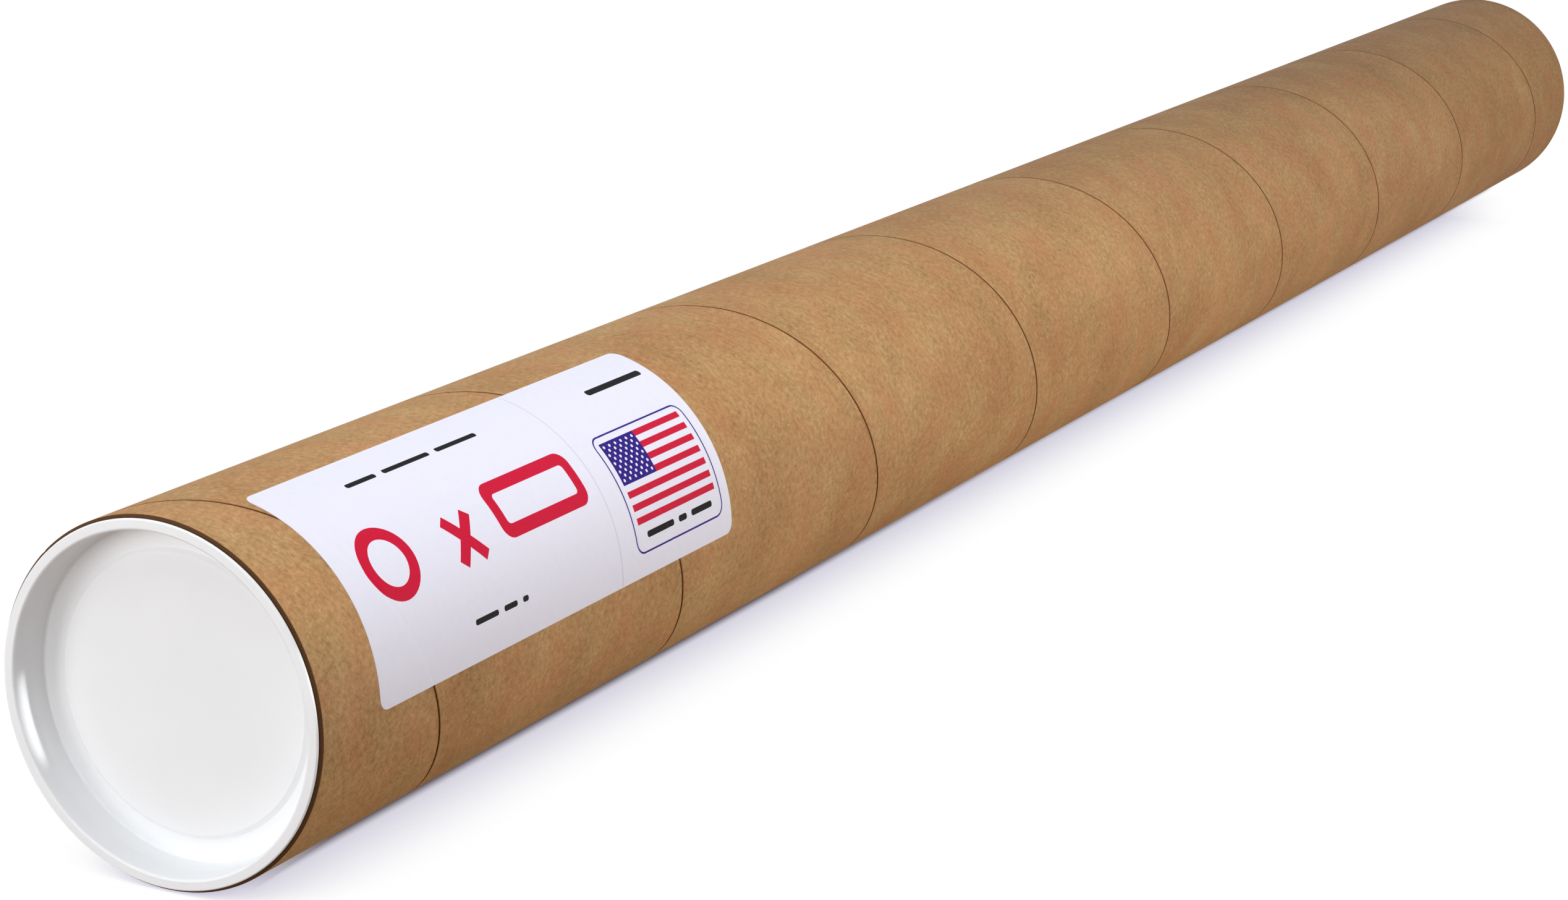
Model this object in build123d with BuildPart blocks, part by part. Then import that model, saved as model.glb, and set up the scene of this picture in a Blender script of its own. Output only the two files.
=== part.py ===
"""Spiral-wound paperboard mailing tube with two push-in plastic end caps and a paper label.

Units are millimetres. The tube stands on its end: +Z runs along its axis, and the origin is
the centre of the circle that it stands on. The label faces -Y.
"""
from build123d import *
from math import ceil, degrees
import os

os.makedirs("parts", exist_ok=True)

# Paperboard tube
tube_length = 1219.2  # cut length, 48 in
bore_diameter = 101.6  # inside diameter, 4 in
wall_thickness = 2.03  # 0.080 in of wound board

# Butt joint of the outermost paper ply, a right-hand helix that runs off both ends
ply_lead = 138.3  # advance along the tube in one turn
ply_gap = 0.55  # open width between the two edges of the ply
ply_thickness = 0.28  # depth of the joint
ply_joint_drop = 37.3  # below the upper end, where the joint crosses the label's middle line

# End caps, one moulding each; heights are counted outwards from the tube's cut end
plug_clearance = 0.05  # radial, between the plug and the bore
plug_taper = 0.35  # loss of radius from the flange down to the lead-in
lead_in = 1.0  # height of the chamfer at the plug's inner end
flange_thickness = 1.1
flange_setback = 0.9  # the rim stays this far inside the tube's outer surface
flange_lift = 0.3  # the flange is dished, so its rim stands this far off the board
lip_width = 3.2  # flat ring from the rim to the recess
recess_depth = 11.1  # from the cut end down to the gutter
wall_break = 5.9  # depth at which the recess wall changes its draft
upper_draft = 0.25  # loss of recess radius above the break
lower_draft = 0.65  # loss of recess radius below it
gutter_width = 6.5  # ring between the recess wall and the raised disc
disc_rise = 1.0  # height of the disc above the gutter
disc_slope = 1.4  # horizontal run of the soft step up to the disc
floor_thickness = 1.6
edge_break = 0.4  # on the flange's rim and on the lip's inner edge
gutter_break = 0.9  # sloped corner between the recess wall and the gutter

# Self-adhesive paper label
label_length = 198.0  # along the tube
label_width = 75.0  # round the tube, measured on its surface
label_thickness = 0.12
label_corner = 3.5
label_margin = 27.0  # from the upper cut end to the label's nearer edge
label_direction = -90.0  # angle about +Z that the middle of the label faces

# Worked out from the sizes above
bore_radius = bore_diameter / 2
outer_radius = bore_radius + wall_thickness
lower_end = flange_thickness
upper_end = lower_end + tube_length


def wound_tube():
    """Board cylinder with the helical joint of its outer ply cut one turn at a time."""
    level_at_x_axis = upper_end - ply_joint_drop - ply_lead * label_direction / 360
    turns_below = ceil((level_at_x_axis - lower_end) / ply_lead)
    turns_above = ceil((upper_end - level_at_x_axis) / ply_lead)

    with BuildPart() as tube:
        with BuildSketch(Plane.XY.offset(lower_end)):
            Circle(outer_radius)
            Circle(bore_radius, mode=Mode.SUBTRACT)
        extrude(amount=tube_length)
        for turn in range(-turns_below, turns_above):
            start = (0, 0, level_at_x_axis + turn * ply_lead)
            with BuildLine() as joint:
                Helix(ply_lead, ply_lead, outer_radius, center=start)
            section = Plane(joint.line @ 0, x_dir=(1, 0, 0), z_dir=joint.line % 0)
            with BuildSketch(section):
                Rectangle(2 * ply_thickness, ply_gap)
            sweep(path=joint.line, is_frenet=True, mode=Mode.SUBTRACT)
    return tube


def end_cap(seat, outward):
    """Plug cap with its flange on the cut end at height seat; outward is 1 for up, -1 for down."""
    plug_radius = bore_radius - plug_clearance
    nose_radius = plug_radius - plug_taper
    rim_radius = outer_radius - flange_setback
    lip_radius = rim_radius - lip_width
    break_radius = lip_radius - upper_draft
    gutter_radius = break_radius - lower_draft
    step_radius = gutter_radius - gutter_width
    disc_radius = step_radius - disc_slope
    disc_top = disc_rise - recess_depth
    plug_end = -recess_depth - floor_thickness

    def at(radius, height):
        """Point of the half section, with its height counted outwards from the cut end."""
        return radius, seat + outward * height

    def corner(section, radius, height):
        """Vertex of the half section nearest to a point given as in at()."""
        return section.vertices().sort_by_distance((*at(radius, height), 0))[0]

    with BuildPart() as cap:
        with BuildSketch(Plane.XZ) as section:
            with BuildLine():
                Polyline(
                    at(0, disc_top),
                    at(disc_radius, disc_top),
                    at(step_radius, -recess_depth),
                    at(gutter_radius, -recess_depth),
                    at(break_radius, -wall_break),
                    at(lip_radius, flange_thickness),
                    at(rim_radius, flange_thickness),
                    at(rim_radius, flange_lift),
                    at(plug_radius, 0),
                    at(nose_radius, plug_end + lead_in),
                    at(nose_radius - lead_in / 2, plug_end),
                    at(step_radius, plug_end),
                    at(disc_radius, disc_top - floor_thickness),
                    at(0, disc_top - floor_thickness),
                    close=True,
                )
            make_face()
            chamfer(corner(section, lip_radius, flange_thickness), edge_break)
            chamfer(corner(section, rim_radius, flange_thickness), edge_break)
            chamfer(corner(section, gutter_radius, -recess_depth), gutter_break)
        revolve(axis=Axis.Z)
    return cap


def curved_label():
    """Thin sheet wrapped round the board, with rounded corners."""
    half_angle = degrees(label_width / 2 / outer_radius)
    first_angle = label_direction - half_angle
    with BuildPart() as label:
        with BuildSketch(Plane.XY.offset(upper_end - label_margin - label_length)):
            with BuildLine():
                inner = CenterArc((0, 0), outer_radius, first_angle, 2 * half_angle)
                outer = CenterArc((0, 0), outer_radius + label_thickness, first_angle, 2 * half_angle)
                Line(inner @ 0, outer @ 0)
                Line(inner @ 1, outer @ 1)
            make_face()
        extrude(amount=label_length)
        across_sheet = label.edges().filter_by(GeomType.LINE).filter_by(
            lambda edge: edge.length < 2 * label_thickness)
        fillet(across_sheet, label_corner)
    return label


tube = wound_tube()
tube.part.label = "tube"
export_step(tube.part, "parts/tube.step")

top_cap = end_cap(upper_end, 1)
top_cap.part.label = "top_cap"
export_step(top_cap.part, "parts/top_cap.step")

bottom_cap = end_cap(lower_end, -1)
bottom_cap.part.label = "bottom_cap"
export_step(bottom_cap.part, "parts/bottom_cap.step")

label = curved_label()
label.part.label = "label"
export_step(label.part, "parts/label.step")
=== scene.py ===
"""Looks of the spiral-wound mailing tube: kraft board, moulded caps and the paper label.

Sizes are metres in the row frame. The tube stands on its end and its label faces -Y.
"""
import math

import bmesh
import bpy
from mathutils import Matrix, Vector
from mathutils.geometry import delaunay_2d_cdt


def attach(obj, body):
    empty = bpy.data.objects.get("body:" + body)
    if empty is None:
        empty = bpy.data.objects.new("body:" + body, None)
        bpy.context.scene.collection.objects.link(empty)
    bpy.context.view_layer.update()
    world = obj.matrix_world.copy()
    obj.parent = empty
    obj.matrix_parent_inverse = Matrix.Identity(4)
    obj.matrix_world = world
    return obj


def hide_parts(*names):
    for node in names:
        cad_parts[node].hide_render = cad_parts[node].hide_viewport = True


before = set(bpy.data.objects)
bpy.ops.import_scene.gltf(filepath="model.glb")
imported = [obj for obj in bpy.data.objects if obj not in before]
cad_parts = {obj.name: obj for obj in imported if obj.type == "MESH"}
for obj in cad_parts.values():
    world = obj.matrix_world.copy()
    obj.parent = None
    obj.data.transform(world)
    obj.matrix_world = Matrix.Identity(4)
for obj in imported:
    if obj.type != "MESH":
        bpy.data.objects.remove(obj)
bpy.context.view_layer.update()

MM = 0.001

# Wound board
OUTER_RADIUS = 52.83 * MM
BORE_RADIUS = 50.8 * MM
LOWER_END = 1.1 * MM
UPPER_END = 1220.3 * MM
PLY_LEAD = 138.3 * MM
PLY_GAP = 0.55 * MM
PLY_THICKNESS = 0.28 * MM
INNER_PLY_THICKNESS = 1.2 * PLY_THICKNESS
PLY_JOINT_DROP = 37.3 * MM  # below the upper end, where the joint crosses the label's middle line
PLY_EDGE_SOFTNESS = 0.10 * MM
EDGE_STAIN_AND_SHADE = 0.75 * MM  # how far from the joint's middle the paper is darkened by edge dirt and painted shade
CUT_BREAK = 0.6 * MM  # worn arris round each cut end
LINER_SETBACK = 2 * MM  # of the bore's even rings from each cut end
LINER_RINGS = 24

# End caps; heights are counted outwards from the tube's cut end
PLUG_CLEARANCE = 0.05 * MM
PLUG_TAPER = 0.35 * MM
LEAD_IN = 1.0 * MM
FLANGE_THICKNESS = 1.1 * MM
FLANGE_SETBACK = 0.9 * MM
FLANGE_LIFT = 0.3 * MM
LIP_WIDTH = 3.2 * MM
RECESS_DEPTH = 11.1 * MM
WALL_BREAK = 5.9 * MM
UPPER_DRAFT = 0.25 * MM
LOWER_DRAFT = 0.65 * MM
GUTTER_WIDTH = 6.5 * MM
DISC_RISE = 1.0 * MM
DISC_SLOPE = 1.4 * MM
FLOOR_THICKNESS = 1.6 * MM

# Roundings of the cap's corners, from the disc outwards and back under the floor
DISC_ROUNDING = 0.45 * MM
GUTTER_ROUNDING = 0.7 * MM
WALL_ROUNDING = 3.0 * MM
LIP_ROUNDING = 0.75 * MM
RIM_ROUNDING = 0.45 * MM
FLANGE_EDGE_ROUNDING = 0.15 * MM
SEAT_ROUNDING = 0.1 * MM
PLUG_ROUNDING = 0.5 * MM
NOSE_ROUNDING = 0.3 * MM
UNDER_GUTTER_ROUNDING = 1.5 * MM
UNDER_DISC_ROUNDING = 1.0 * MM
ROUNDING_STEPS = 7

# Label
LABEL_LENGTH = 198.0 * MM
LABEL_WIDTH = 75.0 * MM
LABEL_THICKNESS = 0.12 * MM
LABEL_CORNER = 3.5 * MM
LABEL_MARGIN = 27.0 * MM
LABEL_LIFT = 0.004 * MM  # of its back from the board
LABEL_DIRECTION = math.radians(-90)
LABEL_DENT = 0.10 * MM  # the paper sinks into the joint that it covers
LABEL_DENT_REACH = 0.7 * MM

STEPS_ROUND = 192
TOUCH = 1e-6  # closer than this counts as the same place

LEVEL_AT_X_AXIS = UPPER_END - PLY_JOINT_DROP - PLY_LEAD * LABEL_DIRECTION / math.tau
HELIX_ANGLE = math.atan2(PLY_LEAD, math.tau * OUTER_RADIUS)

AXIS = Vector((0, 0, 1))
PHOTO_UP = Vector((0.7807, -0.6249, 0))  # up in the photograph, square to the tube


def srgb(red, green, blue):
    """Linear colour of an 8-bit display colour."""
    def linear(c):
        c /= 255
        return c / 12.92 if c <= 0.04045 else ((c + 0.055) / 1.055) ** 2.4
    return (linear(red), linear(green), linear(blue), 1)


class Tree:
    """Node tree of a material or a world, written as nested calls."""

    def __init__(self, owner):
        owner.use_nodes = True
        self.nodes = owner.node_tree.nodes
        self.links = owner.node_tree.links

    def put(self, socket, value):
        if isinstance(value, bpy.types.NodeSocket):
            self.links.new(value, socket)
        else:
            socket.default_value = value

    def node(self, kind, inputs=None, **settings):
        """New node with its properties set, and with a value or a link at each input given."""
        node = self.nodes.new(kind)
        for name, value in settings.items():
            setattr(node, name, value)
        for key, value in (inputs or {}).items():
            self.put(node.inputs[key], value)
        return node

    def math(self, operation, first, second=0.0, third=0.0, clamp=False):
        values = {0: first, 1: second, 2: third}
        return self.node("ShaderNodeMath", values, operation=operation, use_clamp=clamp).outputs[0]

    def weighted(self, *layers):
        """Sum of (value, weight) layers, centred on 0 for values between 0 and 1."""
        total = -0.5 * sum(weight for _, weight in layers)
        for value, weight in layers:
            total = self.math("MULTIPLY_ADD", value, weight, total)
        return total

    def scaled(self, vector, factors):
        values = {0: vector, 1: factors}
        return self.node("ShaderNodeVectorMath", values, operation="MULTIPLY").outputs[0]

    def along(self, vector, direction):
        """Length of the vector along a direction."""
        values = {0: vector, 1: direction}
        return self.node("ShaderNodeVectorMath", values, operation="DOT_PRODUCT").outputs["Value"]

    def split(self, vector):
        return self.node("ShaderNodeSeparateXYZ", {0: vector}).outputs[:]

    def ply(self, along=1.0):
        """Place on the wound ply in metres, stretched along it."""
        uv = self.node("ShaderNodeUVMap", uv_map="ply")
        return self.scaled(uv.outputs[0], (along, 1, 1))

    def place(self, scale=(1, 1, 1)):
        """Place on the object in the row frame, in metres."""
        return self.scaled(self.node("ShaderNodeTexCoord").outputs["Object"], scale)

    def position(self):
        return self.node("ShaderNodeNewGeometry").outputs["Position"]

    def noise(self, vector, scale, detail=2.0, roughness=0.5):
        values = {"Vector": vector, "Scale": scale, "Detail": detail, "Roughness": roughness}
        return self.node("ShaderNodeTexNoise", values).outputs[0]

    def flecks(self, vector, scale, radius, share):
        """Above 0 inside scattered round flecks; share is how many cells hold one."""
        cells = self.node("ShaderNodeTexVoronoi", {"Vector": vector, "Scale": scale})
        inside = self.math("LESS_THAN", cells.outputs["Distance"], radius * scale)
        lot = self.node("ShaderNodeSeparateColor", {0: cells.outputs["Color"]})
        chosen = self.math("LESS_THAN", lot.outputs[0], share)
        strength = self.math("MULTIPLY", chosen, lot.outputs[1])
        return self.math("MULTIPLY", inside, strength)

    def ramp(self, value, start, end, smooth=False):
        """0 up to start, 1 from end on."""
        kind = "SMOOTHSTEP" if smooth else "LINEAR"
        values = {"Value": value, "From Min": start, "From Max": end}
        return self.node("ShaderNodeMapRange", values, interpolation_type=kind).outputs[0]

    def between(self, factor, low, high):
        """Colour that goes from low at 0 to high at 1."""
        node = self.node("ShaderNodeMix", data_type="RGBA", clamp_factor=True)
        self.put(node.inputs["Factor"], factor)
        for socket, value in zip([s for s in node.inputs if s.type == "RGBA"], (low, high)):
            self.put(socket, value)
        return next(s for s in node.outputs if s.type == "RGBA")

    def open_sky(self, distance):
        """Share of the sky that nothing within the distance hides."""
        node = self.node("ShaderNodeAmbientOcclusion", {"Distance": distance}, samples=16)
        return node.outputs["AO"]

    def mixed(self, factor, first, second):
        return self.node("ShaderNodeMixShader", {0: factor, 1: first, 2: second}).outputs[0]

    def camera_sees(self, seen, otherwise):
        """One shader for the camera and another for the light."""
        camera_ray = self.node("ShaderNodeLightPath").outputs["Is Camera Ray"]
        return self.mixed(camera_ray, otherwise, seen)


class Coat(Tree):
    """Tree of a new material with one principled surface."""

    def __init__(self, name, roughness, specular):
        self.material = bpy.data.materials.new(name)
        super().__init__(self.material)
        self.shader = self.nodes["Principled BSDF"]
        self.surface("Roughness", roughness)
        self.surface("Specular IOR Level", specular)

    def surface(self, name, value):
        self.put(self.shader.inputs[name], value)

    def bump(self, height, distance, strength):
        values = {"Height": height, "Distance": distance, "Strength": strength}
        self.surface("Normal", self.node("ShaderNodeBump", values).outputs[0])


# Materials; the scales of their noises count waves in a metre

ROSY_DARK = srgb(161, 111, 69)
ROSY_LIGHT = srgb(203, 153, 106)
SHIVE_BROWN = srgb(88, 58, 32)
PALE_FLECK = srgb(224, 190, 144)
# edge dirt and painted shade along the ply joints
STAIN_AND_SHADE_BROWN = srgb(104, 64, 28)


def kraft_paper(name, light, dark, contrast, jointed):
    """Natural kraft paper: clouded pulp, short fibres, light flecks and dark shives.

    Jointed paper is darkened along the edges of its ply: edge dirt and painted shade of the joint.
    """
    t = Coat(name, roughness=0.6, specular=0.16)
    patches = t.noise(t.ply(), scale=22, detail=2, roughness=0.5)
    clouds = t.noise(t.ply(), scale=95, detail=3, roughness=0.55)
    mottle = t.noise(t.ply(), scale=480, detail=3, roughness=0.65)
    grain = t.noise(t.ply(along=0.8), scale=1200, detail=2, roughness=0.6)
    fibres = t.noise(t.ply(along=0.4), scale=2600, detail=2, roughness=0.6)
    tone = t.weighted((patches, 0.9), (clouds, 0.6), (mottle, 1.9), (grain, 1.0), (fibres, 0.4))
    factor = t.math("MULTIPLY_ADD", tone, contrast, 0.5, clamp=True)
    rosy = t.noise(t.ply(along=0.9), scale=48, detail=3, roughness=0.6)
    colour = t.between(
        t.math("MULTIPLY_ADD", rosy, 3.2, -1.25, clamp=True),
        t.between(factor, dark, light), t.between(factor, ROSY_DARK, ROSY_LIGHT),
    )
    shives = t.flecks(t.ply(along=0.6), scale=170, radius=0.28 * MM, share=0.2)
    colour = t.between(t.math("MULTIPLY", shives, 0.55), colour, SHIVE_BROWN)
    pale = t.flecks(t.ply(along=0.8), scale=260, radius=0.26 * MM, share=0.14)
    colour = t.between(t.math("MULTIPLY", pale, 0.5), colour, PALE_FLECK)
    if jointed:
        _, across, _ = t.split(t.ply())
        half_width = 0.5 * PLY_LEAD * math.cos(HELIX_ANGLE)
        from_middle = t.math("ABSOLUTE", t.math("SUBTRACT", across, half_width))
        # edge dirt and painted shade, darkest at the joint's edge
        stain_and_shade = t.ramp(from_middle, half_width - EDGE_STAIN_AND_SHADE, half_width - 0.5 * PLY_GAP)
        colour = t.between(t.math("MULTIPLY", stain_and_shade, 0.85), colour, STAIN_AND_SHADE_BROWN)
    t.surface("Base Color", colour)
    t.surface("Roughness", t.math("MULTIPLY_ADD", mottle, 0.2, 0.48))
    t.bump(t.math("ADD", fibres, t.math("MULTIPLY", mottle, 0.6)), 0.04 * MM, 0.4)
    return t.material


def cut_board():
    """Sawn end of the wound board, its plies showing as rings."""
    t = Coat("cut_board", roughness=0.85, specular=0.2)
    x, y, _ = t.split(t.place())
    radius = t.math("SQRT", t.math("MULTIPLY_ADD", x, x, t.math("MULTIPLY", y, y)))
    depth = t.math("SUBTRACT", radius, BORE_RADIUS)
    plies = t.math("FRACT", t.math("DIVIDE", depth, INNER_PLY_THICKNESS))
    ragged = t.noise(t.place(), scale=1500, detail=3, roughness=0.65)
    shade = t.math("MULTIPLY_ADD", plies, 0.6, t.math("MULTIPLY", ragged, 0.5), clamp=True)
    t.surface("Base Color", t.between(shade, srgb(52, 31, 15), srgb(100, 68, 38)))
    t.bump(ragged, 0.08 * MM, 0.7)
    return t.material


def joint_board():
    """Brown board at the bottom of the narrow joint between turns of the outer ply."""
    t = Coat("ply_joint", roughness=0.9, specular=0.15)
    pulp = t.noise(t.place(), scale=700)
    t.surface("Base Color", t.between(pulp, srgb(104, 58, 18), srgb(128, 78, 30)))
    return t.material


def moulded_plastic():
    """White polyethylene with the faint orange peel of a polished mould."""
    t = Coat("white_plastic", roughness=0.4, specular=0.5)
    peel = t.noise(t.place(), scale=900)
    flow = t.noise(t.place((1, 1, 2)), scale=35)
    t.surface("Base Color", t.between(flow, srgb(238, 240, 242), srgb(244, 246, 247)))
    t.surface("Roughness", t.math("MULTIPLY_ADD", flow, 0.10, 0.36))
    t.bump(peel, 0.012 * MM, 0.5)
    return t.material


def coated_paper(name, light, deep):
    """White coated label stock."""
    t = Coat(name, roughness=0.5, specular=0.25)
    grain = t.noise(t.place(), scale=420, detail=3, roughness=0.6)
    t.surface("Base Color", t.between(grain, light, deep))
    t.bump(grain, 0.02 * MM, 0.35)
    return t.material


def printed_ink(name, colour, deep):
    """Ink film on the label: a little uneven and glossier than the paper."""
    t = Coat(name, roughness=0.42, specular=0.15)
    grain = t.noise(t.place(), scale=900, detail=2, roughness=0.6)
    t.surface("Base Color", t.between(grain, colour, deep))
    t.bump(grain, 0.01 * MM, 0.3)
    return t.material


KRAFT = kraft_paper("kraft_board", srgb(205, 167, 116), srgb(150, 113, 68), 0.85, jointed=True)
LINER = kraft_paper("bore_liner", srgb(198, 156, 104), srgb(152, 110, 64), 0.9, jointed=False)
CUT = cut_board()
JOINT = joint_board()
PLASTIC = moulded_plastic()
PAPER = coated_paper("label_paper", srgb(232, 232, 246), srgb(238, 238, 250))
# grey-lavender paper tone: painted shade of the faint crease across the label
CREASE_SHADE_PAPER = coated_paper("label_crease_shade", srgb(212, 210, 228), srgb(218, 216, 233))
RED = printed_ink("red_ink", srgb(214, 20, 60), srgb(200, 16, 54))
BLUE = printed_ink("blue_ink", srgb(50, 28, 138), srgb(44, 24, 124))
BLACK = printed_ink("black_ink", srgb(20, 20, 26), srgb(14, 14, 18))


def polar(radius, angle, height):
    return Vector((radius * math.cos(angle), radius * math.sin(angle), height))


def add_object(name, data):
    thing = bpy.data.objects.new(name, data)
    bpy.context.scene.collection.objects.link(thing)
    return thing


def add_mesh(name, mesh, materials):
    for material in materials:
        mesh.materials.append(material)
    return add_object(name, mesh)


def finish_mesh(piece, body, slot, *nodes):
    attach(piece, body)
    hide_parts(*nodes)
    return piece


def corner_normals(mesh, normal_of):
    """Sets each corner's normal; where normal_of returns None, the face's own one is kept."""
    normals = []
    for face in mesh.polygons:
        face.use_smooth = True
        for index in face.vertices:
            vertex = mesh.vertices[index]
            normals.append(normal_of(face, vertex) or face.normal.copy())
    mesh.normals_split_custom_set(normals)


# Tube

OUTER_FACE, JOINT_FACE, CUT_FACE, LINER_FACE = range(4)
STEP_ANGLE = math.tau / STEPS_ROUND
LINER_UV_SHIFT = 7  # keeps the liner's pattern apart from the outer ply's


def ply_columns():
    """(height above the joint line, radius) of the points across one turn of the outer ply."""
    half_gap = PLY_GAP / 2 / math.cos(HELIX_ANGLE)
    soft = PLY_EDGE_SOFTNESS
    floor = OUTER_RADIUS - PLY_THICKNESS
    edge = [
        (half_gap * 0.9, floor),
        (half_gap, OUTER_RADIUS - 0.6 * soft),
        (half_gap + 0.4 * soft, OUTER_RADIUS - 0.2 * soft),
        (half_gap + 1.2 * soft, OUTER_RADIUS),
    ]
    shares = (0.04, 0.2, 0.35, 0.5, 0.65, 0.8, 0.96)
    plain = [(PLY_LEAD * share, OUTER_RADIUS) for share in shares]
    mirrored = [(PLY_LEAD - height, radius) for height, radius in reversed(edge)]
    return [(0.0, floor)] + edge + plain + mirrored


def wind_ply(bm, ply):
    """Outer ply as one continuous strip that runs past both cut ends, with an open joint."""
    columns = ply_columns()
    wide = len(columns)
    per_step = PLY_LEAD / STEPS_ROUND
    along_per_step = OUTER_RADIUS * STEP_ANGLE / math.cos(HELIX_ANGLE)
    first = math.floor((LOWER_END - 1.1 * PLY_LEAD - LEVEL_AT_X_AXIS) / per_step)
    last = math.ceil((UPPER_END + 0.1 * PLY_LEAD - LEVEL_AT_X_AXIS) / per_step)
    rows = {}
    for i in range(first, last + 1):
        level = LEVEL_AT_X_AXIS + i * per_step
        rows[i] = [
            bm.verts.new(polar(radius, i * STEP_ANGLE, level + height))
            for height, radius in columns
        ]

    def place_on_ply(i, height):
        return (
            i * along_per_step + height * math.sin(HELIX_ANGLE),
            height * math.cos(HELIX_ANGLE),
        )

    for i in range(first, last):
        for c in range(wide):
            here, ahead = rows[i], rows[i + 1]
            low = columns[c][0]
            if c + 1 < wide:
                high = columns[c + 1][0]
                corners = (here[c], ahead[c], ahead[c + 1], here[c + 1])
            elif i + STEPS_ROUND + 1 <= last:
                high = PLY_LEAD
                turn_up = i + STEPS_ROUND
                corners = (here[c], ahead[c], rows[turn_up + 1][0], rows[turn_up][0])
            else:
                continue
            face = bm.faces.new(corners)
            face.material_index = JOINT_FACE if c < 2 or c >= wide - 2 else OUTER_FACE
            places = (
                place_on_ply(i, low), place_on_ply(i + 1, low),
                place_on_ply(i + 1, high), place_on_ply(i, high),
            )
            for loop, place in zip(face.loops, places):
                loop[ply].uv = place


def saw_end(bm, level, outward):
    """Cuts the strip and closes its end down to the bore; returns the edges left open there."""
    at_cut = level - outward * CUT_BREAK
    rim = [
        edge for edge in bm.edges
        if len(edge.link_faces) == 1 and all(abs(v.co.z - at_cut) < TOUCH for v in edge.verts)
    ]
    board = OUTER_RADIUS - BORE_RADIUS
    # (depth below the end, distance inside the outer face) of each new ring
    rings = [
        (0.35 * CUT_BREAK, 0.30 * CUT_BREAK),
        (0.0, CUT_BREAK),
        (0.0, 0.35 * board),
        (0.0, 0.65 * board),
        (0.0, board - 0.6 * CUT_BREAK),
        (0.6 * CUT_BREAK, board),
    ]
    least_step = 0.02 * MM
    for step, (below, inside) in enumerate(rings):
        before = set(bm.faces)
        made = bmesh.ops.extrude_edge_only(bm, edges=rim)["geom"]
        for vertex in (g for g in made if isinstance(g, bmesh.types.BMVert)):
            old = math.hypot(vertex.co.x, vertex.co.y)
            new = min(old - least_step, OUTER_RADIUS - inside)
            if step == len(rings) - 1:
                new = BORE_RADIUS
            vertex.co.x *= new / old
            vertex.co.y *= new / old
            vertex.co.z = level - outward * below
        for face in set(bm.faces) - before:
            face.material_index = CUT_FACE
        rim = [g for g in made if isinstance(g, bmesh.types.BMEdge)]
        rim = [edge for edge in rim if len(edge.link_faces) == 1]
    return rim


def line_bore(bm, ply, lower_rim, upper_rim):
    """Inner face of the board between the two cut ends."""
    def ring_at(level):
        ring = [
            bm.verts.new(polar(BORE_RADIUS, i * STEP_ANGLE, level)) for i in range(STEPS_ROUND)
        ]
        return ring, [bm.edges.new((ring[i - 1], ring[i])) for i in range(STEPS_ROUND)]

    even_length = UPPER_END - LOWER_END - 2 * LINER_SETBACK
    bore = [
        ring_at(LOWER_END + LINER_SETBACK + even_length * k / LINER_RINGS)
        for k in range(LINER_RINGS + 1)
    ]
    for (lower, _), (upper, _) in zip(bore, bore[1:]):
        for i in range(STEPS_ROUND):
            face = bm.faces.new((lower[i - 1], upper[i - 1], upper[i], lower[i]))
            face.material_index = LINER_FACE
    for rim, (_, edges) in ((lower_rim, bore[0]), (upper_rim, bore[-1])):
        for face in bmesh.ops.bridge_loops(bm, edges=rim + edges)["faces"]:
            face.material_index = LINER_FACE
    for face in bm.faces:
        if face.material_index == LINER_FACE:
            for loop in face.loops:
                angle = math.atan2(loop.vert.co.y, loop.vert.co.x)
                loop[ply].uv = (BORE_RADIUS * angle + LINER_UV_SHIFT, loop.vert.co.z)


def sort_faces(bm):
    """Puts the faces in the order of their vertices, so that each run writes the same mesh."""
    bm.verts.index_update()
    count = len(bm.verts)

    def key(face):
        first, second, third = sorted(vertex.index for vertex in face.verts)[:3]
        return (first * count + second) * count + third

    bm.faces.sort(key=key)


def tube_shell():
    """Tube of wound board with its cut ends and its bore."""
    bm = bmesh.new()
    ply = bm.loops.layers.uv.new("ply")
    wind_ply(bm, ply)
    cuts = ((LOWER_END, -1), (UPPER_END, 1))
    for level, outward in cuts:
        everything = bm.verts[:] + bm.edges[:] + bm.faces[:]
        bmesh.ops.bisect_plane(
            bm, geom=everything, dist=1e-7, clear_outer=True,
            plane_co=(0, 0, level - outward * CUT_BREAK), plane_no=(0, 0, outward),
        )
    rims = [saw_end(bm, level, outward) for level, outward in cuts]
    line_bore(bm, ply, *rims)
    bmesh.ops.recalc_face_normals(bm, faces=bm.faces)
    sort_faces(bm)
    mesh = bpy.data.meshes.new("tube_shell")
    bm.to_mesh(mesh)
    bm.free()

    def normal_of(face, vertex):
        outward = Vector((vertex.co.x, vertex.co.y, 0)).normalized()
        full_radius = vertex.co.to_2d().length > OUTER_RADIUS - TOUCH
        if face.material_index == OUTER_FACE and full_radius:
            return outward
        if face.material_index == LINER_FACE:
            return -outward
        return None

    piece = add_mesh("tube_shell", mesh, (KRAFT, JOINT, CUT, LINER))
    corner_normals(mesh, normal_of)
    return finish_mesh(piece, "tube_body", "kraft_board", "tube")


# Caps

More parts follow.
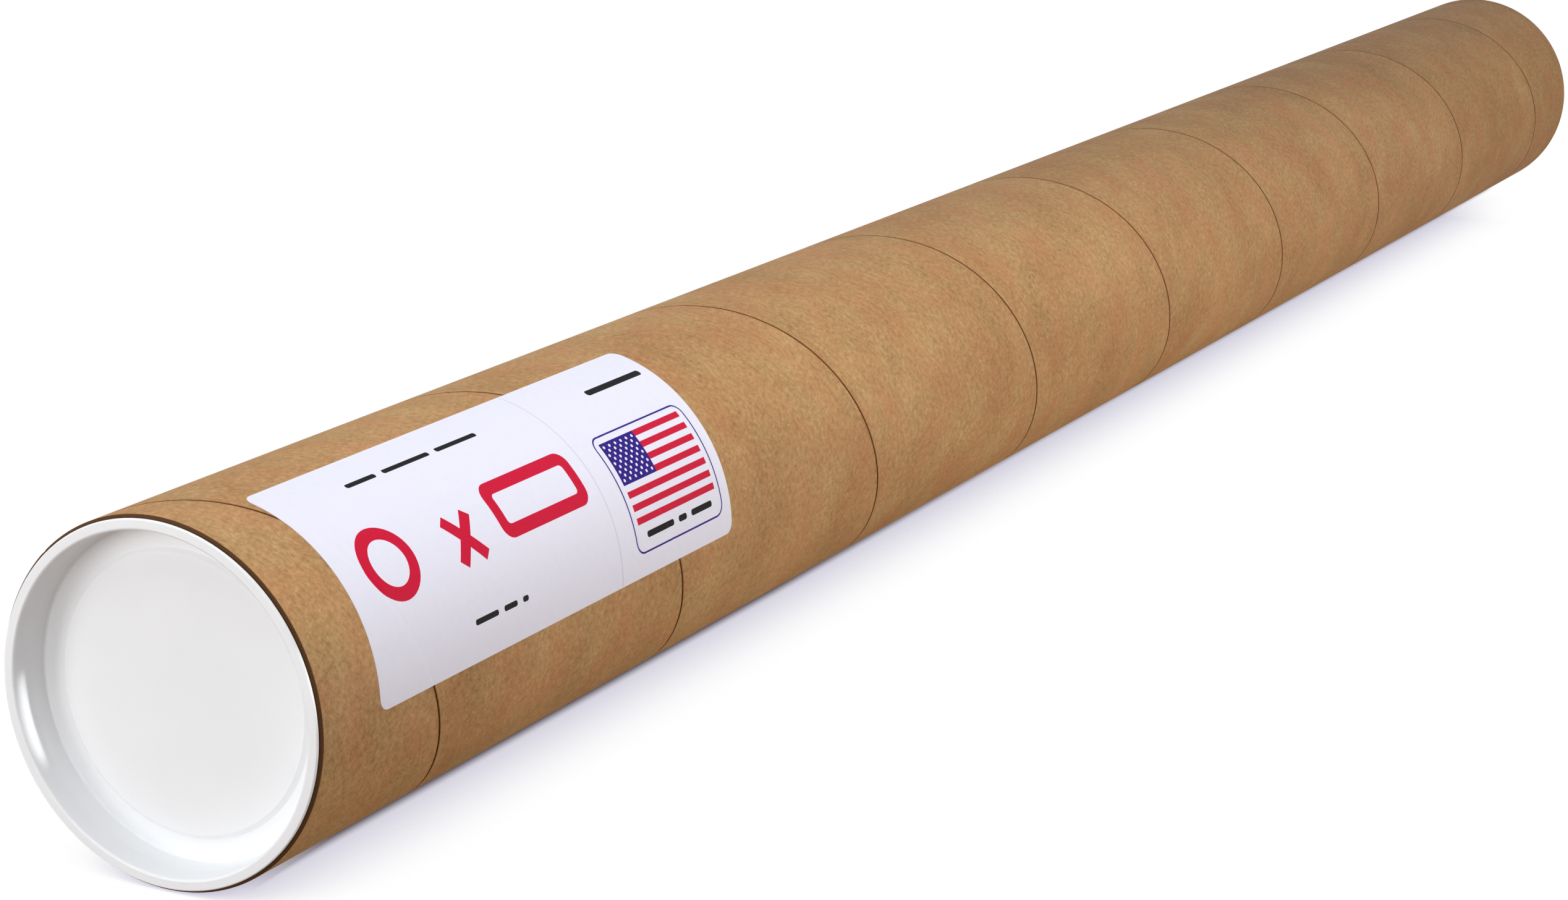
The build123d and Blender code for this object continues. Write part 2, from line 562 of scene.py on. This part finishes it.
def rounded_section(corners, steps):
    """Points and outward normals of a half section; each corner is (radius, height, rounding)."""
    path = []
    for i, (radius, height, rounding) in enumerate(corners):
        here = Vector((radius, height))
        if not rounding:
            path.append((here, Vector((0, 1 if i == 0 else -1))))
            continue
        before = (Vector(corners[i - 1][:2]) - here).normalized()
        after = (Vector(corners[i + 1][:2]) - here).normalized()
        half = before.angle(after) / 2
        reach = rounding / math.tan(half)
        centre = here + (before + after).normalized() * (rounding / math.sin(half))
        start = here + before * reach - centre
        end = here + after * reach - centre
        turn = math.atan2(start.cross(end), start.dot(end))
        for step in range(steps + 1):
            angle = turn * step / steps
            arm = Vector((
                start.x * math.cos(angle) - start.y * math.sin(angle),
                start.x * math.sin(angle) + start.y * math.cos(angle),
            ))
            outward = arm.normalized() * (-1 if turn > 0 else 1)
            path.append((centre + arm, outward))
    return path


def cap_section():
    """Half section of the cap, from the middle of its disc round to the middle underneath."""
    plug = BORE_RADIUS - PLUG_CLEARANCE
    nose = plug - PLUG_TAPER
    rim = OUTER_RADIUS - FLANGE_SETBACK
    lip = rim - LIP_WIDTH
    wall = lip - UPPER_DRAFT
    gutter = wall - LOWER_DRAFT
    step = gutter - GUTTER_WIDTH
    disc_edge = step - DISC_SLOPE
    disc_top = DISC_RISE - RECESS_DEPTH
    disc_under = disc_top - FLOOR_THICKNESS
    plug_end = -RECESS_DEPTH - FLOOR_THICKNESS
    return rounded_section((
        (0, disc_top, 0),
        (disc_edge, disc_top, DISC_ROUNDING),
        (step, -RECESS_DEPTH, GUTTER_ROUNDING),
        (gutter, -RECESS_DEPTH, GUTTER_ROUNDING),
        (wall, -WALL_BREAK, WALL_ROUNDING),
        (lip, FLANGE_THICKNESS, LIP_ROUNDING),
        (rim, FLANGE_THICKNESS, RIM_ROUNDING),
        (rim, FLANGE_LIFT, FLANGE_EDGE_ROUNDING),
        (plug, 0, SEAT_ROUNDING),
        (nose, plug_end + LEAD_IN, PLUG_ROUNDING),
        (nose - LEAD_IN / 2, plug_end, NOSE_ROUNDING),
        (step, plug_end, UNDER_GUTTER_ROUNDING),
        (disc_edge, disc_under, UNDER_DISC_ROUNDING),
        (0, disc_under, 0),
    ), ROUNDING_STEPS)


def cap_shell(name, body, node, seat, outward):
    """One moulded cap, turned from its half section, which starts and ends on the axis."""
    vertices = []
    normals = []
    rings = []
    for (radius, height), (out_radial, out_axial) in cap_section():
        ring = []
        for i in range(STEPS_ROUND if radius > TOUCH else 1):
            angle = STEP_ANGLE * i
            ring.append(len(vertices))
            vertices.append(polar(radius, angle, seat + outward * height))
            normals.append(polar(out_radial, angle, outward * out_axial))
        rings.append(ring)
    faces = []
    for inner, outer in zip(rings, rings[1:]):
        for i in range(STEPS_ROUND):
            j = (i + 1) % STEPS_ROUND
            if len(inner) == 1:
                corners = [inner[0], outer[i], outer[j]]
            elif len(outer) == 1:
                corners = [inner[i], outer[0], inner[j]]
            else:
                corners = [inner[i], outer[i], outer[j], inner[j]]
            faces.append(corners if outward > 0 else corners[::-1])
    mesh = bpy.data.meshes.new(name)
    mesh.from_pydata(vertices, [], faces)
    for face in mesh.polygons:
        face.use_smooth = True
    piece = add_mesh(name, mesh, (PLASTIC,))
    mesh.normals_split_custom_set_from_vertices(normals)
    return finish_mesh(piece, body, "white_plastic", node)


# Label; its plan (u, v) is in millimetres: u from the end nearest the cap,
# v from the edge that is the lower one in the photograph

BARE, RED_INK, BLUE_INK, BLACK_INK, CREASE_SHADE_INK = range(5)
PLAN_LENGTH = LABEL_LENGTH / MM
PLAN_WIDTH = LABEL_WIDTH / MM
PLAN_CORNER = LABEL_CORNER / MM


def rounded_box(u0, v0, u1, v1, radius, step=1.5):
    """Outline of a rectangle with rounded corners, its long sides divided."""
    centres = (
        (u1 - radius, v1 - radius, 0), (u0 + radius, v1 - radius, 90),
        (u0 + radius, v0 + radius, 180), (u1 - radius, v0 + radius, 270),
    )
    arcs = []
    for u, v, start in centres:
        for turned in range(0, 91, 15):
            angle = math.radians(start + turned)
            arcs.append((u + radius * math.cos(angle), v + radius * math.sin(angle)))
    outline = []
    for a, b in zip(arcs, arcs[1:] + arcs[:1]):
        parts = max(1, math.ceil(math.dist(a, b) / step))
        for k in range(parts):
            outline.append((a[0] + (b[0] - a[0]) * k / parts, a[1] + (b[1] - a[1]) * k / parts))
    return outline


def disc(u, v, radius, count=48):
    angles = [math.tau * k / count for k in range(count)]
    return [(u + radius * math.cos(angle), v + radius * math.sin(angle)) for angle in angles]


def bar(u0, v0, u1, v1, width):
    """Straight stroke with square ends."""
    along = Vector((u1 - u0, v1 - v0)).normalized() * (width / 2)
    side = Vector((-along.y, along.x))
    return [
        (u0 - side.x, v0 - side.y), (u1 - side.x, v1 - side.y),
        (u1 + side.x, v1 + side.y), (u0 + side.x, v0 + side.y),
    ]


def flag_field(left, low, right, high):
    """Striped field with a starred corner."""
    square = 0.05
    stripes, covered = 13, 7
    stripe = (high - low) / stripes
    shapes = []
    for k in range(0, stripes, 2):
        bottom, top = low + k * stripe, low + (k + 1) * stripe
        shapes.append((rounded_box(left, bottom, right, top, square), RED_INK))
    canton_width = 20.0
    canton_low = high - covered * stripe
    canton = rounded_box(left, canton_low, left + canton_width, high, square)
    shapes.append((canton, BLUE_INK))
    rows = 9
    for row in range(rows):
        v = canton_low + (high - canton_low) * (row + 1) / (rows + 1)
        stars, first = (6, 1) if row % 2 == 0 else (5, 2)
        for k in range(stars):
            u = left + canton_width * (2 * k + first) / 12
            shapes.append((disc(u, v, 0.55, 10), BARE))
    return shapes


def label_print():
    """(outline, ink) of each shape on the sheet, the upper ones last."""
    # painted shade of a faint crease straight across the sheet
    shapes = [(rounded_box(129.0, 0.4, 129.5, 74.6, 0.05), CREASE_SHADE_INK)]
    # round mouth, times, length
    shapes += [(disc(22.5, 37.0, 11.6), RED_INK), (disc(22.5, 37.0, 7.4, 40), BARE)]
    shapes += [(bar(52.5, 27.5, 64.5, 41.5, 4.0), RED_INK)]
    shapes += [(bar(52.5, 41.5, 64.5, 27.5, 4.0), RED_INK)]
    shapes += [(rounded_box(76, 28.5, 123, 47.0, 4.5), RED_INK)]
    shapes += [(rounded_box(80.2, 32.7, 118.8, 42.8, 1.5), BARE)]
    # traditional field in a thin rounded frame
    shapes += [(rounded_box(139, 7, 193, 46.2, 4.2), BLUE_INK)]
    shapes += [(rounded_box(139.6, 7.6, 192.4, 45.6, 3.6), BARE)]
    shapes += flag_field(142.0, 16.0, 190.0, 43.5)
    # plain bars where the lines of type are: (start, end, middle height, thickness)
    for u0, u1, v, thick in (
        (33.0, 47.5, 63.6, 1.7), (51.0, 74.5, 63.6, 1.7), (78.0, 99.5, 63.6, 1.7),
        (49.0, 61.0, 11.3, 1.7), (64.0, 71.0, 11.3, 1.7), (74.0, 77.0, 11.3, 1.7),
        (146.0, 162.5, 12.2, 2.0), (165.5, 170.5, 12.2, 2.0), (173.5, 186.5, 12.2, 2.0),
        (160.0, 193.0, 61.6, 2.4),
    ):
        line = rounded_box(u0, v - thick / 2, u1, v + thick / 2, 0.45 * thick)
        shapes.append((line, BLACK_INK))
    return shapes


def joint_at(v):
    """Where along the plan the first covered joint lies."""
    angle = (v - PLAN_WIDTH / 2) * MM / OUTER_RADIUS
    return (PLY_JOINT_DROP - LABEL_MARGIN) / MM - PLY_LEAD / MM * angle / math.tau


def joints_covered():
    """How far past the first one each joint under the label lies, along the plan."""
    shifts = [turn * PLY_LEAD / MM for turn in range(math.ceil(LABEL_LENGTH / PLY_LEAD) + 1)]
    ends = (joint_at(0), joint_at(PLAN_WIDTH))
    return [s for s in shifts if max(ends) + s > 1 and min(ends) + s < PLAN_LENGTH - 1]


def ruled_lines():
    """Pairs of points on the plan that let the sheet bend round the tube and into the joints."""
    margin = 0.4

    def inset(distance):
        """How far a rounded corner eats into a line at that distance from the side."""
        near = min(max(PLAN_CORNER - distance, 0), PLAN_CORNER)
        return PLAN_CORNER - math.sqrt(PLAN_CORNER * PLAN_CORNER - near * near) + margin

    lines = []
    lines_round = 50
    for k in range(1, lines_round):
        v = PLAN_WIDTH * k / lines_round
        gap = inset(min(v, PLAN_WIDTH - v))
        lines.append(((gap, v), (PLAN_LENGTH - gap, v)))
    lines_along = 22
    for k in range(1, lines_along):
        u = PLAN_LENGTH * k / lines_along
        lines.append(((u, margin), (u, PLAN_WIDTH - margin)))
    # beside each joint, in steps of the dent's reach
    reach = LABEL_DENT_REACH / MM / math.cos(HELIX_ANGLE)
    clear = 0.5
    parts = 60
    for shift in joints_covered():
        for k in (-3, -2, -1, -0.5, 0, 0.5, 1, 2, 3):
            inside = []
            for part in range(parts + 1):
                v = clear + (PLAN_WIDTH - 1) * part / parts
                u = joint_at(v) + shift + k * reach
                corner_room = min(u, PLAN_LENGTH - u) + 0.1
                on_sheet = clear < u < PLAN_LENGTH - clear
                if on_sheet and inset(min(v, PLAN_WIDTH - v)) < corner_room:
                    inside.append((u, v))
            if len(inside) > 1:
                lines.append((inside[0], inside[-1]))
    return lines


def dent_at(u, v):
    """Depth of the label's dent over the joints and its slope across them."""
    depth = 0.0
    slope = 0.0
    for shift in joints_covered():
        off = (u - joint_at(v) - shift) * MM * math.cos(HELIX_ANGLE) / LABEL_DENT_REACH
        dent = LABEL_DENT * math.exp(-off * off)
        depth += dent
        slope += 2 * off / LABEL_DENT_REACH * dent
    return depth, slope


def label_sheet():
    """Label wrapped round the board, with the print as faces of its own in the top surface."""
    sheet = rounded_box(0, 0, PLAN_LENGTH, PLAN_WIDTH, PLAN_CORNER)
    shapes = [(sheet, BARE)] + label_print()
    points = []
    edges = []
    outlines = []
    for outline, _ in shapes:
        outlines.append(list(range(len(points), len(points) + len(outline))))
        points += outline
    for line in ruled_lines():
        edges.append((len(points), len(points) + 1))
        points += line
    flat = [Vector(p) for p in points]
    keep_inside = 1
    plan, _, triangles, _, _, sources = delaunay_2d_cdt(flat, edges, outlines, keep_inside, 1e-4)

    top = OUTER_RADIUS + LABEL_THICKNESS
    bottom = OUTER_RADIUS + LABEL_LIFT
    upper, lower, normals = [], [], []
    for u, v in plan:
        angle = LABEL_DIRECTION + (v - PLAN_WIDTH / 2) * MM / OUTER_RADIUS
        level = UPPER_END - LABEL_MARGIN - u * MM
        depth, slope = dent_at(u, v)
        upper.append(polar(top - depth, angle, level))
        lower.append(polar(bottom, angle, level))
        # square to the joint, toward the upper end
        around = Vector((-math.sin(angle), math.cos(angle), 0))
        across = AXIS * math.cos(HELIX_ANGLE) - around * math.sin(HELIX_ANGLE)
        normals.append((polar(1, angle, 0) + across * slope).normalized())

    faces = []
    inks = []
    open_sides = {}
    for triangle, source in zip(triangles, sources):
        a, b, c = (plan[i] for i in triangle)
        if (b - a).cross(c - a) < 0:
            triangle = triangle[::-1]
        faces.append(tuple(triangle))
        inks.append(shapes[max(source)][1])
        for i in range(3):
            side = (triangle[i - 1], triangle[i])
            if side[::-1] in open_sides:
                del open_sides[side[::-1]]
            else:
                open_sides[side] = True
    tops = len(faces)
    count = len(upper)
    faces += [tuple(i + count for i in reversed(face)) for face in faces[:tops]]
    faces += [(b, a, a + count, b + count) for a, b in open_sides]
    inks += [BARE] * (len(faces) - tops)
    mesh = bpy.data.meshes.new("label_sheet")
    mesh.from_pydata(upper + lower, [], faces)
    for face, ink in zip(mesh.polygons, inks):
        face.material_index = ink
    piece = add_mesh("label_sheet", mesh, (PAPER, RED, BLUE, BLACK, CREASE_SHADE_PAPER))
    corner_normals(
        mesh, lambda face, vertex: normals[vertex.index] if face.index < tops else None,
    )
    return finish_mesh(piece, "tube_body", "label_paper", "label")


tube_shell()
cap_shell("top_cap_shell", "top_cap_body", "top_cap", UPPER_END, 1)
cap_shell("bottom_cap_shell", "bottom_cap_body", "bottom_cap", LOWER_END, -1)
label_sheet()


# Camera, as in the photograph

CAMERA_PLACE = Vector((-0.11046, -0.61570, 1.91515))
LOOKS_AT = Vector((-0.01155, 0.00185, 0.8687))
SENSOR_WIDTH = 36
FOCAL_LENGTH = 78.663

forward = (LOOKS_AT - CAMERA_PLACE).normalized()
right = forward.cross(PHOTO_UP).normalized()
up = right.cross(forward)
camera = add_object("camera", bpy.data.cameras.new("camera"))
camera.data.sensor_width = SENSOR_WIDTH
camera.data.lens = FOCAL_LENGTH
camera.data.clip_start = 0.05
camera.data.clip_end = 60
camera.matrix_world = Matrix((right, up, -forward)).transposed().to_4x4()
camera.location = CAMERA_PLACE
bpy.context.scene.camera = camera


# Stage: a pale floor, and a white backdrop along the tube that only the camera sees

WHITE = (1, 1, 1, 1)
FLOOR_HALF = 8.0
FLOOR_SHADOW = (0.05, 0.04, 0.10, 1)
FLOOR_SHADOW_REACH = 0.22
FLOOR_SHADOW_FADE = 0.05
BOUNCE_BROWN = (0.42, 0.28, 0.17, 1)
BOUNCE_PALE = (0.66, 0.66, 0.68, 1)
BOUNCE_FROM, BOUNCE_TO = -0.35, 0.05

BACKDROP_HALF_WIDTH = 6
BACKDROP_HEIGHT = 7
BACKDROP_GAP = 0.2 * MM  # between the tube and the backdrop
LAVENDER_SHADE = (0.46, 0.43, 0.57, 1)
SHADE_REACH = 0.6
SHADE_RANGE = 0.47  # share of open sky from which the backdrop is white
SHADE_CURVE = 0.7
FOOT_REACH = 0.11
FOOT_RELIEF = 0.45  # share of sky given back right at the foot, lightening the painted shade there
# painted contact shadow where the tube lies against the backdrop
PAINTED_CONTACT_SHADOW = (0.08, 0.06, 0.06, 1)
CONTACT_INNER = 12.5 * MM
CONTACT_OUTER = 18.5 * MM
CONTACT_WIDENING = 2.2 * MM  # toward the near end
WIDENING_FROM, WIDENING_TO = 0.65, 0.90
NEAR_FADE_FROM, NEAR_FADE_TO = UPPER_END - 0.06, UPPER_END - 0.01
FAR_FADE_FROM, FAR_FADE_TO = 0.05, 0.01


def blank_material(name):
    material = bpy.data.materials.new(name)
    tree = Tree(material)
    tree.nodes.clear()
    return material, tree


def floor_material():
    """Pale floor; the camera sees it white, with a painted shadow where the object stands close.
    """
    material, t = blank_material("floor_white")
    toward_lamp = t.along(t.position(), PHOTO_UP)
    # the painted shadow is kept to the far side of the tube from the overhead lamp
    shadow_start = -OUTER_RADIUS - FLOOR_SHADOW_FADE
    outside_painted_shadow = t.ramp(toward_lamp, shadow_start, -OUTER_RADIUS, smooth=True)
    lightness = t.math("MAXIMUM", outside_painted_shadow, t.open_sky(FLOOR_SHADOW_REACH))
    seen_colour = t.between(lightness, FLOOR_SHADOW, WHITE)
    seen = t.node("ShaderNodeEmission", {"Color": seen_colour}).outputs[0]
    # the ground under the tube's lower side gives back a browner light
    bounce_colour = t.between(
        t.ramp(toward_lamp, BOUNCE_FROM, BOUNCE_TO), BOUNCE_BROWN, BOUNCE_PALE,
    )
    bounce = t.node("ShaderNodeBsdfDiffuse", {"Color": bounce_colour}).outputs[0]
    t.node("ShaderNodeOutputMaterial", {"Surface": t.camera_sees(seen, bounce)})
    return material


def backdrop_material():
    """White with a painted lavender shade close to the tube, taken from the open sky, and clear
    from behind.
    """
    material, t = blank_material("backdrop_white")
    _, _, height = t.split(t.position())
    # the share of the sky that the floor hides at this height is given back
    c = t.math("DIVIDE", height, SHADE_REACH, clamp=True)
    chord = t.math("SQRT", t.math("SUBTRACT", 1.0, t.math("MULTIPLY", c, c)))
    segment = t.math("SUBTRACT", t.math("ARCCOSINE", c), t.math("MULTIPLY", c, chord))
    floor_free = t.math("SUBTRACT", 1.0, t.math("DIVIDE", segment, math.pi))
    sky = t.math("DIVIDE", t.open_sky(SHADE_REACH), floor_free)
    toward_foot = t.ramp(height, FOOT_REACH, 0.0)
    sky = t.math("MULTIPLY_ADD", toward_foot, FOOT_RELIEF, sky)
    lightness = t.math("POWER", t.math("DIVIDE", sky, SHADE_RANGE, clamp=True), SHADE_CURVE)
    shade = t.between(lightness, LAVENDER_SHADE, WHITE)
    # painted contact shadow: a dark line where the tube lies, a little wider toward the near end
    aside = t.math("ABSOLUTE", t.along(t.position(), AXIS.cross(PHOTO_UP)))
    near_share = t.ramp(height, WIDENING_FROM, WIDENING_TO)
    widened = t.math("MULTIPLY", near_share, CONTACT_WIDENING)
    beside = t.ramp(
        t.math("SUBTRACT", aside, widened), CONTACT_INNER, CONTACT_OUTER, smooth=True,
    )
    past_ends = t.math(
        "MAXIMUM", t.ramp(height, NEAR_FADE_FROM, NEAR_FADE_TO),
        t.ramp(height, FAR_FADE_FROM, FAR_FADE_TO),
    )
    colour = t.between(t.math("MAXIMUM", beside, past_ends), PAINTED_CONTACT_SHADOW, shade)
    glow = t.node("ShaderNodeEmission", {"Color": colour}).outputs[0]
    clear = t.node("ShaderNodeBsdfTransparent").outputs[0]
    behind = t.node("ShaderNodeNewGeometry").outputs["Backfacing"]
    t.node("ShaderNodeOutputMaterial", {"Surface": t.mixed(behind, glow, clear)})
    return material


def stage_plane(name, corners, material):
    mesh = bpy.data.meshes.new(name)
    mesh.from_pydata(corners, [], [(0, 1, 2, 3)])
    plane = add_mesh(name, mesh, (material,))
    return plane


floor_signs = ((-1, -1), (1, -1), (1, 1), (-1, 1))
stage_plane(
    "floor", [(x * FLOOR_HALF, y * FLOOR_HALF, 0) for x, y in floor_signs], floor_material(),
)
sideways = AXIS.cross(PHOTO_UP) * BACKDROP_HALF_WIDTH
foot = PHOTO_UP * -(OUTER_RADIUS + BACKDROP_GAP)
head = foot + AXIS * BACKDROP_HEIGHT
backdrop = stage_plane(
    "backdrop",
    [foot - sideways, foot + sideways, head + sideways, head - sideways],
    backdrop_material(),
)
for ray in ("diffuse", "glossy", "transmission", "volume_scatter", "shadow"):
    setattr(backdrop, "visible_" + ray, False)


# Light

def soft_lamp(name, target, offset, size, level, colour):
    """Softbox at an offset from its target; level is how bright a white surface looks there."""
    data = bpy.data.lights.new(name, "AREA")
    data.shape = "RECTANGLE"
    data.size, data.size_y = size
    data.energy = level * math.pi ** 2 * offset.length_squared
    data.color = colour
    lamp = add_object(name, data)
    lamp.location = target + offset
    lamp.rotation_euler = offset.to_track_quat("Z", "Y").to_euler()
    lamp.visible_camera = False
    return lamp


def square_to_axis(degrees):
    return polar(1, math.radians(degrees), 0)


near_end = AXIS * UPPER_END
photo_left = square_to_axis(51)
soft_lamp(
    "cap_key", near_end, (AXIS + photo_left * 0.75 + PHOTO_UP * 0.12).normalized() * 1.3,
    size=(0.7, 0.7), level=0.45, colour=(0.985, 0.99, 1),
)
soft_lamp(
    "cap_front", near_end, (AXIS + PHOTO_UP * 0.2 - photo_left * 0.15).normalized() * 1.3,
    size=(0.8, 0.8), level=0.40, colour=(0.985, 0.99, 1),
)
soft_lamp(
    "top_key", near_end, (AXIS * 0.4 + PHOTO_UP).normalized() * 1.3,
    size=(0.7, 0.7), level=0.32, colour=(0.99, 0.99, 1),
)
soft_lamp(
    "overhead", AXIS * 1.02, PHOTO_UP * 0.8,
    size=(0.5, 0.5), level=0.57, colour=(0.96, 0.98, 1),
)
soft_lamp(
    "side", AXIS * 0.84, square_to_axis(-114) * 1.1,
    size=(0.7, 0.5), level=0.17, colour=(0.95, 0.98, 1),
)
soft_lamp(
    "low_side", AXIS * 0.66, square_to_axis(-138) * 1.0,
    size=(0.5, 0.5), level=0.50, colour=(1, 0.965, 0.93),
)
soft_lamp(
    "back", AXIS * 0.6, square_to_axis(84) * 1.3,
    size=(1.0, 1.0), level=0.62, colour=(1, 1, 1),
)


def glint_lamp(direction, elevation, distance, width, flatness, depth, level):
    """Flat narrow beam that clears the near lip and lands on the wall just inside the far one."""
    data = bpy.data.lights.new("glint", "SPOT")
    data.spot_size = 2 * math.atan(width / 2 / distance)
    data.spot_blend = 0.35
    data.shadow_soft_size = 2 * MM
    data.energy = level * 4 * math.pi ** 2 * distance ** 2
    lamp = add_object("glint", data)
    away = direction * math.cos(elevation) + AXIS * math.sin(elevation)
    across = AXIS.cross(direction).normalized()
    axes = Matrix((across, away.cross(across) * flatness, away))
    lamp.matrix_world = axes.transposed().to_4x4()
    landing = near_end - direction * (BORE_RADIUS - LIP_WIDTH) - AXIS * depth
    lamp.location = landing + away * distance
    return lamp


glint_lamp(
    square_to_axis(246), elevation=math.radians(2.9), distance=0.65,
    width=28 * MM, flatness=0.15, depth=2.3 * MM, level=0.65,
)

WORLD_BELOW = (0.165, 0.085, 0.035, 1)
WORLD_ABOVE = (0.13, 0.135, 0.15, 1)


def studio_world():
    """Brown light from below and pale light from above; the camera sees plain white."""
    world = bpy.data.worlds.new("studio")
    t = Tree(world)
    t.nodes.clear()
    upward = t.along(t.node("ShaderNodeTexCoord").outputs["Generated"], PHOTO_UP)
    sky = t.between(t.ramp(upward, -0.6, 0.4), WORLD_BELOW, WORLD_ABOVE)
    around = t.node("ShaderNodeBackground", {"Color": sky}).outputs[0]
    white = t.node("ShaderNodeBackground", {"Color": WHITE}).outputs[0]
    t.node("ShaderNodeOutputWorld", {"Surface": t.camera_sees(white, around)})
    return world


bpy.context.scene.world = studio_world()
bpy.context.scene.view_settings.view_transform = "Standard"
